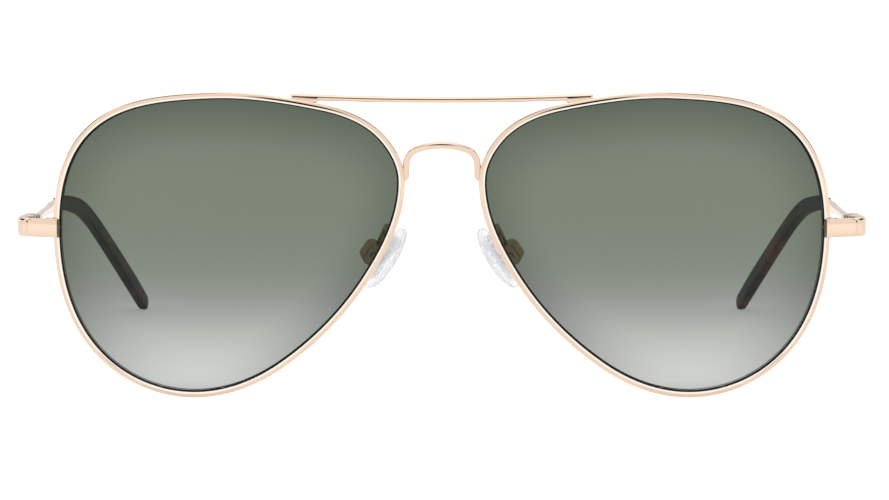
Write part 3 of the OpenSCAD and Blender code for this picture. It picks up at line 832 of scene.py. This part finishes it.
def make_pad_boxes():
    """Box with a round back and an open front, and the screw that holds the pad's lug in it."""
    outline = filleted(
        [
            (-BOX_FRONT, -BOX_L / 2, 0.15),
            (BOX_BACK, -BOX_L / 2, BOX_BACK),
            (BOX_BACK, BOX_L / 2, BOX_BACK),
            (-BOX_FRONT, BOX_L / 2, 0.15),
        ],
        14,
    )
    box = shape("smooth_pad_box_left", prism(outline, -BOX_W / 2, BOX_W / 2, PAD), PAD_GOLD_PAINTED_SHADE)
    inner = BOX_W / 2 - BOX_WALL
    hollow = slab((-2, -inner, BOX_WALL - BOX_L / 2), (0.95, inner, BOX_L / 2 - BOX_WALL), PAD)
    combine(box, hollow, "DIFFERENCE")
    combine(box, bore(PAD_SCREW_R + HELD_GAP, ACROSS_PAD), "DIFFERENCE")
    finish_small(box, 0.22)
    both(box, "pad_box")
    proud = 0.4
    head = ACROSS_PAD @ Matrix.Translation((0, 0, BOX_W / 2 + proud)) @ Matrix.Rotation(0.4, 4, "Z")
    pin = screw("smooth_pad_screw_left", PAD_SCREW_R, PAD_HEAD_R, PAD_HEAD_H, BOX_W + proud, head)
    both(pin, "pad_screw")


def make_nose_pads():
    """Soft oval pads, narrower at the top, with a crowned face."""
    steps = 37
    rings = []
    for k in range(steps):
        level = -math.cos(math.pi * (k + 0.25) / (steps - 0.5))
        full = math.sqrt(max(0.0004, 1 - level * level))
        w = PAD_W * full * (1 - 0.12 * level)
        t = PAD_T * math.sqrt(full)
        ring = []
        for across, thick in crowned(w, t, 40, 0.8):
            bulge = -thick * (1.1 if thick > 0 else 0.9) - 0.25 * (full - 1)
            ring.append(PAD @ (PAD_MIDDLE + Vector((bulge, across, level * PAD_L / 2))))
        rings.append(ring)
    pad = skinned("soft_nose_pad_left", rings, [SILICONE])
    both(pad, "nose_pad", "nose_pad")


def make_pad_cores():
    """Stiff plate inside the soft pad, with a lug that turns in the pad box."""
    lug, plate_w, plate_l, plate_t = 0.9, 1.8, 4.3, 0.25
    inner = PAD_MIDDLE.x
    side = filleted([(inner, -lug, 0.1), (lug, -lug, lug), (lug, lug, lug), (inner, lug, 0.1)], 12)
    core = shape("smooth_pad_insert_left", prism(side, -lug, lug, PAD), PAD_CORE)
    ends = [(-plate_w, -plate_l), (plate_w, -plate_l), (plate_w, plate_l), (-plate_w, plate_l)]
    outline = filleted([(y, z, plate_w) for y, z in ends], 12)
    plate = [PAD @ (PAD_MIDDLE + Vector((x, y, z))) for x in (-plate_t, plate_t) for y, z in outline]
    combine(core, (plate, skin_faces(2, len(outline))), "UNION")
    combine(core, bore(PAD_SCREW_R + RUNNING_GAP, ACROSS_PAD), "DIFFERENCE")
    finish_small(core, 0.05)
    both(core, "pad_insert", "nose_pad")


def make_pad_arms():
    """Bent wire from the back of the rim up and over to the top of the pad box."""
    root = Vector((EYE_X - 26.75, 2.95, 1.5))
    into_box = PAD @ Vector((-0.1, 0, BOX_L / 2 + 0.03))
    controls = (root, root + Vector((0.1, 3.2, 2.4)), PAD @ Vector((0.4, 0, BOX_L / 2 + 3.3)), into_box)
    steps, sides, wire_r, solder_r = 40, 24, 0.5, 0.12
    line = [bezier(controls, k / steps) for k in range(steps + 1)]
    rings = []
    for i, point in enumerate(line):
        along = line[min(i + 1, steps)] - line[max(i - 1, 0)]
        side = along.cross(Vector((0.1, 0.2, 1))).normalized()
        up = side.cross(along).normalized()
        r = wire_r + solder_r * max(0, 1 - i / 6) ** 2
        turns = [2 * math.pi * k / sides for k in range(sides)]
        rings.append([point + r * (math.cos(turn) * side + math.sin(turn) * up) for turn in turns])
    arm = skinned("smooth_pad_arm_left", rings, [PAD_GOLD_PAINTED_SHADE])
    round_ends(arm, 0.1)
    both(arm, "pad_arm")


# Temples


def temple_x(y):
    """Middle of the arm, seen from above, at depth y."""
    step = lookup(y, [(19, 0), (22, 0.3), (27, 0.8), (31, 1)])
    bow = BOW * (max(0, y - BOW_START) / BOW_LENGTH) ** 2
    return SIDE_X - END_T / 2 - step - SIDE_IN * (y - END_Y) - bow


TEMPLE = stations(TEMPLE_SHAPE, 30)


def temple_ring(y, section, h, reach=0.0):
    """Section of height h around the temple's line at depth y; its top leans back by reach."""
    z = lookup(y, [(s[0], s[1]) for s in TEMPLE])
    turn = lookup(y, [(s[0], s[2]) for s in TEMPLE])
    inward = temple_x(y + 0.5) - temple_x(y - 0.5)
    thick = np.array([1, -inward, 0]) / math.hypot(1, inward)
    tall = np.array([0, -math.sin(turn), math.cos(turn)])
    middle = np.array([temple_x(y), y, z])
    along = reach * np.array([0, math.cos(turn), math.sin(turn)])
    return [middle + q * thick + r * tall + (r / h + 0.5) * along for q, r in section]


def make_temples():
    """Metal arm: a tall block at the hinge, a slim middle and a flared end at the tip."""
    heights = [(19, 2.7), (28, ARM_H), (40, ARM_H), (49, 2), (TIP_START, 2.2)]
    widths = [(19, END_T), (28, ARM_T), (TIP_START, ARM_T + 0.2)]
    depths = np.linspace(END_Y + 0.05, TIP_START, 70)
    rings = []
    for y in depths:
        w, h = smooth_lookup(y, widths), smooth_lookup(y, heights)
        rings.append(temple_ring(y, crowned(w, h, 32, 0.55), h))
    arm = skinned("smooth_temple_left", rings, [GOLD])
    round_ends(arm, 0.12)
    both(arm, "temple", "temple")


def make_temple_tips():
    """Sleeve that grows towards its rounded end, whose top leans back."""
    round_l, lean_l, lean = 1.4, 9, 1.4
    heights = [(TIP_START, 2.45), (88, 3.05), (TIP_END, TIP_H)]
    widths = [(TIP_START, ARM_T + 0.45), (76, TIP_T), (TIP_END, TIP_T + 0.2)]
    depths = list(np.linspace(TIP_START + 0.05, TIP_END - round_l, 90))
    depths += [TIP_END - round_l * (1 - math.sin(math.pi / 2 * k / 10)) for k in range(1, 11)]
    rings = []
    for y in depths:
        left = TIP_END - y
        full = 1 if left >= round_l else math.sqrt(max(0, 1 - (1 - left / round_l) ** 2))
        w, h = (0.7 + 0.3 * full) * lookup(y, widths), (0.5 + 0.5 * full) * lookup(y, heights)
        reach = lean * smooth_lookup(y, [(TIP_END - lean_l, 0), (TIP_END, 1)])
        rings.append(temple_ring(y, crowned(w, h, 36, 0.6), h, reach))
    tip = skinned("smooth_temple_tip_left", rings, [TORTOISE])
    round_ends(tip, 0.3)
    both(tip, "temple_tip", "temple")


make_rims()
make_lenses()
make_brow_bar()
make_bridge()
make_end_pieces()
make_front_hinges()
make_temple_hinges()
make_hinge_screws()
make_rim_locks()
make_pad_boxes()
make_nose_pads()
make_pad_cores()
make_pad_arms()
make_temples()
make_temple_tips()


# Studio


WORLD_LIGHT = 1.0
CAMERA_DISTANCE, CAMERA_TILT = 0.7, math.radians(5.6)


def fading(name, size, strength, start):
    """Glow of a card that fades to the studio's own light, from share start of the way to its edge."""
    n = Nodes(name)
    settings = {"Vector": n.place, "Scale": (2 / size[0], 2 / size[1], 0)}
    spread = n.add("ShaderNodeMapping", settings).outputs[0]
    distance = n.add("ShaderNodeVectorMath", {0: spread}, operation="LENGTH").outputs["Value"]
    glow = n.mapped(distance, start, 1, strength, WORLD_LIGHT)
    return n.finish(n.add("ShaderNodeEmission", {"Strength": glow}).outputs[0])


def floor_material():
    """White paper that glows, so that shadows stay pale; it glows less for what metal reflects."""
    n = Nodes("white_floor")
    grain = n.ramp(n.noise(60, 3), [(0.3, (0.395, 0.395, 0.395)), (0.7, (0.405, 0.405, 0.405))])
    paper = n.add("ShaderNodeBsdfDiffuse", {"Color": grain}).outputs[0]
    ray = n.add("ShaderNodeLightPath").outputs
    seen = n.larger(ray["Is Camera Ray"], ray["Is Transmission Ray"])
    glow = n.add("ShaderNodeEmission", {"Strength": n.mapped(seen, 0, 1, 0.6, 0.9)}).outputs[0]
    return n.finish(n.add("ShaderNodeAddShader", {0: paper, 1: glow}).outputs[0])


def sheet(name, w, h, material):
    """Flat rectangle for the studio: the floor and the cards."""
    mesh = bpy.data.meshes.new(name)
    w, h = w / 2, h / 2
    mesh.from_pydata([(-w, -h, 0), (w, -h, 0), (w, h, 0), (-w, h, 0)], [], [(0, 1, 2, 3)])
    mesh.materials.append(material)
    flat = bpy.data.objects.new(name, mesh)
    bpy.context.scene.collection.objects.link(flat)
    return flat


def put(thing, centre, direction):
    """Places a thing with its +Z side turned in a direction."""
    thing.location = centre
    thing.rotation_mode = "QUATERNION"
    thing.rotation_quaternion = direction.to_track_quat("Z", "Y")


def card(name, size, centre, target, strength, start):
    """Panel that faces a target and shows only in reflections: black at strength 0, bright above 1."""
    panel = sheet(name, *size, fading(name, size, strength, start))
    put(panel, centre, Vector(target) - Vector(centre))
    panel.visible_camera = False
    panel.visible_shadow = False
    panel.visible_diffuse = False
    panel.visible_transmission = False


def soft_light(name, size, power, centre, target):
    """Rectangular lamp that shines at a target."""
    light = bpy.data.lights.new(name, "AREA")
    light.shape = "RECTANGLE"
    light.size, light.size_y = size
    light.energy = power
    lamp = bpy.data.objects.new(name, light)
    put(lamp, centre, Vector(centre) - Vector(target))
    bpy.context.scene.collection.objects.link(lamp)


def make_studio():
    """Camera, floor, even white light all round, and the cards that shape the reflections."""
    scene = bpy.context.scene
    lens_middle = Vector((0, -ORIGIN[1] / 1000, -ORIGIN[2] / 1000))
    back = Vector((0, -math.cos(CAMERA_TILT), math.sin(CAMERA_TILT)))
    up = Vector((0, math.sin(CAMERA_TILT), math.cos(CAMERA_TILT)))
    data = bpy.data.cameras.new("camera")
    data.sensor_width = 36
    data.lens = 168.2
    data.clip_start, data.clip_end = 0.01, 50
    camera = bpy.data.objects.new("camera", data)
    put(camera, lens_middle + CAMERA_DISTANCE * back + Vector((0.00045, 0, 0)) - 0.000775 * up, back)
    scene.collection.objects.link(camera)
    scene.camera = camera

    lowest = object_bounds()[0].z
    floor = sheet("floor", 12, 12, floor_material())
    floor.location.z = lowest - 0.0001

    world = bpy.data.worlds.new("studio")
    world.use_nodes = True
    world.node_tree.nodes["Background"].inputs["Color"].default_value = (1, 1, 1, 1)
    world.node_tree.nodes["Background"].inputs["Strength"].default_value = WORLD_LIGHT
    scene.world = world

    behind = lens_middle + (CAMERA_DISTANCE + 0.05) * back
    card("camera_shade", (0.36, 0.28), behind + 0.03 * up, lens_middle, 0.0, start=0.6)
    card("front_panel", (0.9, 0.8), (0, -0.42, 0.75), lens_middle, 1.4, start=0.7)
    card("back_panel", (2.4, 0.6), (0, 1.1, 0.25), lens_middle, 0.75, start=0.8)
    for side in (-1, 1):
        card(f"front_flag_{side}", (0.5, 0.34), (0.4 * side, -0.51, 0.55), lens_middle, 0.0, start=0.8)
        card(f"side_flag_{side}", (1.0, 0.5), (0.76 * side, 0.1, 0.42), lens_middle, 0.0, start=0.85)
        low = (0.34 * side, -0.3, 0.002)
        card(f"side_floor_{side}", (0.9, 0.8), low, (low[0], low[1], 1), 1.2, start=0.1)
    soft_light("overhead", (1.0, 0.8), 1.6, (0, -0.1, 0.9), (0, 0, 0))
    scene.view_settings.view_transform = "Standard"
    scene.view_settings.look = "None"


make_studio()
